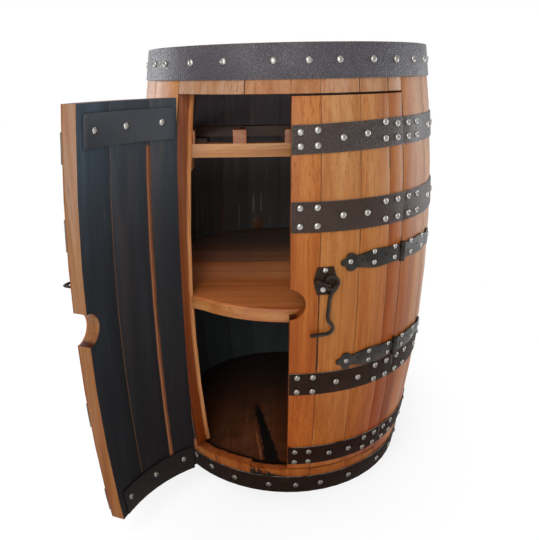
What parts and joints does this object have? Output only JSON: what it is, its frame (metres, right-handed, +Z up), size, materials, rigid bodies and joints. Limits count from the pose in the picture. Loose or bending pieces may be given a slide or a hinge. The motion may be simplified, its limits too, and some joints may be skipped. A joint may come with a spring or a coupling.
{
  "type": "barrel bar cabinet",
  "caption": "Barrel stood on end as a bar cabinet, with two hinged stave doors, a hook latch, a round shelf and a bottle rack inside.",
  "frame": {"origin": "middle of the footprint on the floor with the left door open as built; the barrel's axis stands at x 0.0312, y 0.0575", "axes": "+Z up along the barrel, -Y out of the front where the doors meet, +X towards the right-hand door"},
  "size_m": [0.6998, 0.753, 0.9],
  "materials": {
    "oak": "oiled",
    "oak_light": "oiled",
    "hoop_steel": "brown lacquer over hammered steel",
    "black_iron": "black lacquer"
  },
  "bodies": {
    "carcass": {"wall_stave_01": "oak", "wall_stave_02": "oak", "wall_stave_03": "oak", "wall_stave_04": "oak", "wall_stave_05": "oak", "wall_stave_06": "oak", "wall_stave_07": "oak", "wall_stave_08": "oak", "wall_stave_09": "oak", "wall_stave_10": "oak", "wall_stave_11": "oak", "wall_stave_12": "oak", "wall_stave_13": "oak", "wall_stave_14": "oak", "wall_stave_15": "oak", "wall_stave_16": "oak", "header_stave_ends": "oak", "sill_stave_ends": "oak", "top_head": "oak", "bottom_head": "oak", "top_hoop": "hoop_steel", "bottom_hoop": "hoop_steel", "upper_quarter_wall_hoop": "hoop_steel", "upper_bilge_wall_hoop": "hoop_steel", "lower_bilge_wall_hoop": "hoop_steel", "lower_quarter_wall_hoop": "hoop_steel", "left_upper_hinge_wall_leaf": "black_iron", "left_lower_hinge_wall_leaf": "black_iron", "right_upper_hinge_wall_leaf": "black_iron", "right_lower_hinge_wall_leaf": "black_iron", "left_door_stop": "oak_light", "right_door_stop": "oak_light", "middle_shelf": "oak_light", "bottle_rack": "oak_light"},
    "left_door": {"left_door_stave_1": "oak", "left_door_stave_2": "oak", "left_door_stave_3": "oak", "left_door_upper_quarter_hoop": "hoop_steel", "left_door_upper_bilge_hoop": "hoop_steel", "left_door_lower_bilge_hoop": "hoop_steel", "left_door_lower_quarter_hoop": "hoop_steel", "left_door_inner_top_band": "hoop_steel", "left_door_inner_bottom_band": "hoop_steel", "left_upper_hinge_door_leaf": "black_iron", "left_lower_hinge_door_leaf": "black_iron", "catch_plate_and_staple": "black_iron"},
    "right_door": {"right_door_stave_1": "oak", "right_door_stave_2": "oak", "right_door_stave_3": "oak", "right_door_stave_4": "oak", "right_door_upper_quarter_hoop": "hoop_steel", "right_door_upper_bilge_hoop": "hoop_steel", "right_door_lower_bilge_hoop": "hoop_steel", "right_door_lower_quarter_hoop": "hoop_steel", "right_door_inner_top_band": "hoop_steel", "right_door_inner_bottom_band": "hoop_steel", "right_upper_hinge_door_leaf": "black_iron", "right_lower_hinge_door_leaf": "black_iron", "latch_plate_and_staple": "black_iron"},
    "hook": {"latch_hook": "black_iron"}
  },
  "joints": [
    {"name": "left_door_hinge", "type": "hinge", "parent": "carcass", "child": "left_door", "pos_m": [-0.18523, -0.17957, 0.43075], "axis": [0, 0, -1], "range_deg": [-108, 42]},
    {"name": "right_door_hinge", "type": "hinge", "parent": "carcass", "child": "right_door", "pos_m": [0.24767, -0.17957, 0.43075], "axis": [0, 0, 1], "range_deg": [0, 150]},
    {"name": "hook_swing", "type": "hinge", "parent": "right_door", "child": "hook", "pos_m": [0.10128, -0.25522, 0.4943], "axis": [0.2011, -0.9796, 0], "range_deg": [-90, 45]}
  ]
}
